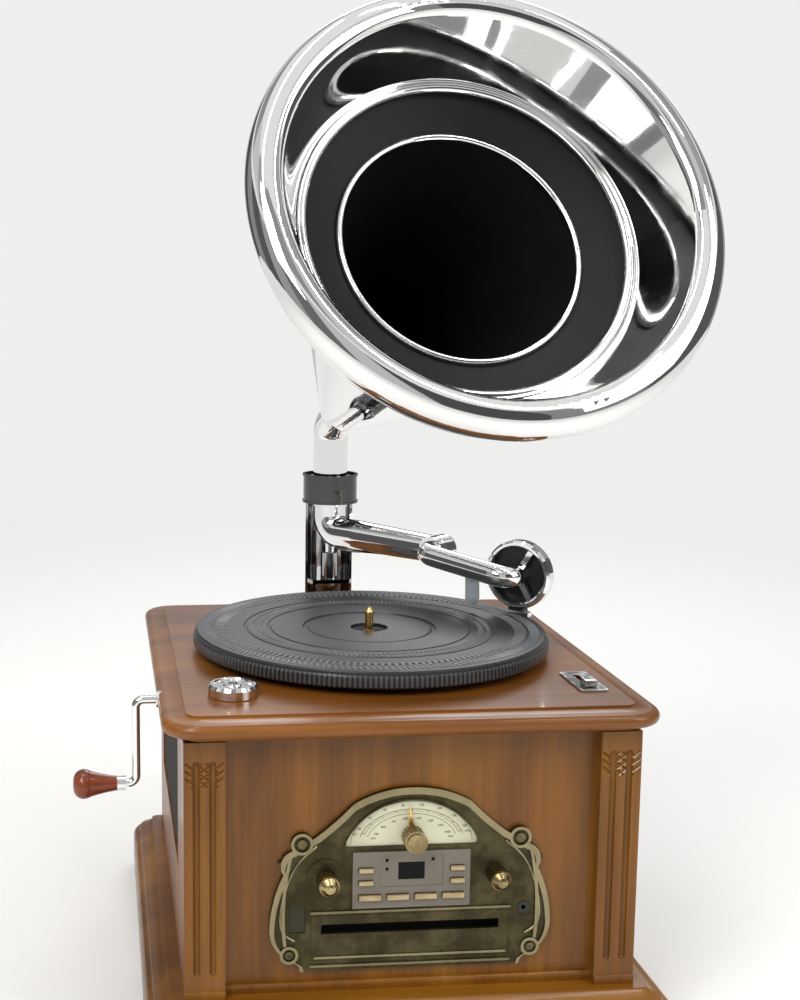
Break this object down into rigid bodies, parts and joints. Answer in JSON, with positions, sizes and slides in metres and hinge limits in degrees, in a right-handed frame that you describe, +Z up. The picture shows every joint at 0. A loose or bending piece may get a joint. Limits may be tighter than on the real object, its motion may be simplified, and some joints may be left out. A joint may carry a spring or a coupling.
{
  "type": "gramophone",
  "caption": "Horn gramophone with a turntable, tonearm, side crank and a wooden cabinet whose front panel holds a tuning dial, knobs, push buttons, a display and a disc slot.",
  "frame": {"origin": "centre of the cabinet's footprint, on the floor under the rubber feet", "axes": "+Z up, -Y towards the front panel, +X to the right as seen from the front"},
  "size_m": [0.4787, 0.4987, 0.7873],
  "materials": {
    "cabinet_wood": "gloss varnish",
    "deck_wood": "gloss varnish",
    "antique_brass": "cast, antiqued, bright raised rims",
    "polished_brass": "polished",
    "bronze_panel": "satin",
    "dial_face": "satin print",
    "display_black": "gloss",
    "chrome": "polished",
    "dark_chrome": "polished",
    "black_enamel": "gloss black",
    "satin_steel": "turned",
    "black_rubber": "matte",
    "black_plastic": "fine texture",
    "speaker_cloth": "woven",
    "guard_plastic": "translucent",
    "grip_wood": "gloss varnish",
    "cast_alloy": "machined",
    "green_board": "lacquered board"
  },
  "bodies": {
    "cabinet": {"base_plinth": "cabinet_wood", "rubber_feet": "black_rubber", "top_plate": "deck_wood", "corner_posts": "cabinet_wood", "front_board": "cabinet_wood", "side_panels": "cabinet_wood", "speaker_grilles": "speaker_cloth", "loudspeakers": "black_plastic", "back_panel": "cabinet_wood", "escutcheon": "antique_brass", "fasteners": "antique_brass", "dial_scale": "dial_face", "control_plate": "bronze_panel", "display_windows": "display_black", "disc_bezel": "bronze_panel", "disc_mechanism": "black_plastic", "headphone_socket": "black_plastic", "rear_sockets": "black_plastic", "motor": "satin_steel", "electronics": "green_board", "drive_belt": "black_rubber", "spindle_bearing": "satin_steel", "deck_posts": "chrome", "speed_plate": "chrome", "horn_bracket": "dark_chrome", "collar": "dark_chrome", "collar_bush": "black_plastic", "crank_bush": "polished_brass"},
    "turntable": {"platter": "black_enamel", "platter_mat": "black_rubber", "spindle": "polished_brass"},
    "pulley": {"motor_pulley": "cast_alloy"},
    "tonearm": {"tonearm_tube": "chrome"},
    "arm_head": {"swan_neck": "chrome", "sound_box": "chrome", "sound_box_back": "black_plastic", "cartridge": "black_plastic", "stylus_guard": "guard_plastic"},
    "horn": {"horn_neck": "chrome", "horn_cone": "chrome", "horn_flare": "chrome", "horn_rings": "dark_chrome", "horn_liner": "black_enamel"},
    "crank": {"crank_rod": "chrome"},
    "grip": {"crank_grip": "grip_wood", "grip_ferrule": "chrome"},
    "tuning": {"tuning_knob": "polished_brass", "tuning_needle": "polished_brass"},
    "function": {"function_knob": "polished_brass"},
    "volume": {"volume_knob": "polished_brass"},
    "speed_lever": {"speed_knob": "chrome"},
    "adapter": {"adapter_45": "chrome"},
    "button_upper_left": {"button_upper_left": "polished_brass"},
    "button_lower_left": {"button_lower_left": "polished_brass"},
    "button_upper_right": {"button_upper_right": "polished_brass"},
    "button_lower_right": {"button_lower_right": "polished_brass"},
    "button_wide_1": {"button_wide_1": "polished_brass"},
    "button_wide_2": {"button_wide_2": "polished_brass"},
    "button_wide_3": {"button_wide_3": "polished_brass"},
    "button_wide_4": {"button_wide_4": "polished_brass"}
  },
  "joints": [
    {"name": "platter_spin", "type": "hinge", "parent": "cabinet", "child": "turntable", "pos_m": [0, 0.002, 0.28], "axis": [0, 0, 1], "continuous": true},
    {"name": "pulley_spin", "type": "hinge", "parent": "cabinet", "child": "pulley", "pos_m": [-0.10112, 0.08685, 0.27], "axis": [0, 0, 1], "continuous": true},
    {"name": "tonearm_swing", "type": "hinge", "parent": "cabinet", "child": "tonearm", "pos_m": [0, 0.217, 0.328], "axis": [0, 0, 1], "range_deg": [-26, 2]},
    {"name": "tonearm_lift", "type": "hinge", "parent": "tonearm", "child": "arm_head", "pos_m": [0.08503, 0.11086, 0.328], "axis": [-0.7804, -0.6252, 0], "range_deg": [0, 32]},
    {"name": "horn_turn", "type": "hinge", "parent": "cabinet", "child": "horn", "pos_m": [0, 0.217, 0.373], "axis": [0, 0, 1], "range_deg": [-30, 30]},
    {"name": "crank_turn", "type": "hinge", "parent": "cabinet", "child": "crank", "pos_m": [-0.1855, -0.104, 0.2545], "axis": [1, 0, 0], "continuous": true},
    {"name": "grip_spin", "type": "hinge", "parent": "crank", "child": "grip", "pos_m": [-0.228, -0.104, 0.188], "axis": [1, 0, 0], "continuous": true},
    {"name": "tuning_turn", "type": "hinge", "parent": "cabinet", "child": "tuning", "pos_m": [0, -0.19, 0.1675], "axis": [0, -1, 0], "range_deg": [-80, 80]},
    {"name": "function_turn", "type": "hinge", "parent": "cabinet", "child": "function", "pos_m": [-0.064, -0.19, 0.136], "axis": [0, -1, 0], "range_deg": [-100, 100]},
    {"name": "volume_turn", "type": "hinge", "parent": "cabinet", "child": "volume", "pos_m": [0.064, -0.19, 0.136], "axis": [0, -1, 0], "range_deg": [-140, 140]},
    {"name": "speed_slide", "type": "slide", "parent": "cabinet", "child": "speed_lever", "axis": [0, 1, 0], "range_m": [0, 0.024]},
    {"name": "adapter_lift", "type": "slide", "parent": "cabinet", "child": "adapter", "axis": [0, 0, 1], "range_m": [0, 0.014]},
    {"name": "button_upper_left_press", "type": "slide", "parent": "cabinet", "child": "button_upper_left", "axis": [0, 1, 0], "range_m": [0, 0.001], "stiffness_N_per_m": 300},
    {"name": "button_lower_left_press", "type": "slide", "parent": "cabinet", "child": "button_lower_left", "axis": [0, 1, 0], "range_m": [0, 0.001], "stiffness_N_per_m": 300},
    {"name": "button_upper_right_press", "type": "slide", "parent": "cabinet", "child": "button_upper_right", "axis": [0, 1, 0], "range_m": [0, 0.001], "stiffness_N_per_m": 300},
    {"name": "button_lower_right_press", "type": "slide", "parent": "cabinet", "child": "button_lower_right", "axis": [0, 1, 0], "range_m": [0, 0.001], "stiffness_N_per_m": 300},
    {"name": "button_wide_1_press", "type": "slide", "parent": "cabinet", "child": "button_wide_1", "axis": [0, 1, 0], "range_m": [0, 0.001], "stiffness_N_per_m": 300},
    {"name": "button_wide_2_press", "type": "slide", "parent": "cabinet", "child": "button_wide_2", "axis": [0, 1, 0], "range_m": [0, 0.001], "stiffness_N_per_m": 300},
    {"name": "button_wide_3_press", "type": "slide", "parent": "cabinet", "child": "button_wide_3", "axis": [0, 1, 0], "range_m": [0, 0.001], "stiffness_N_per_m": 300},
    {"name": "button_wide_4_press", "type": "slide", "parent": "cabinet", "child": "button_wide_4", "axis": [0, 1, 0], "range_m": [0, 0.001], "stiffness_N_per_m": 300}
  ],
  "couplings": [
    {"joint": "pulley_spin", "follows": "platter_spin", "ratio": 14.284}
  ]
}
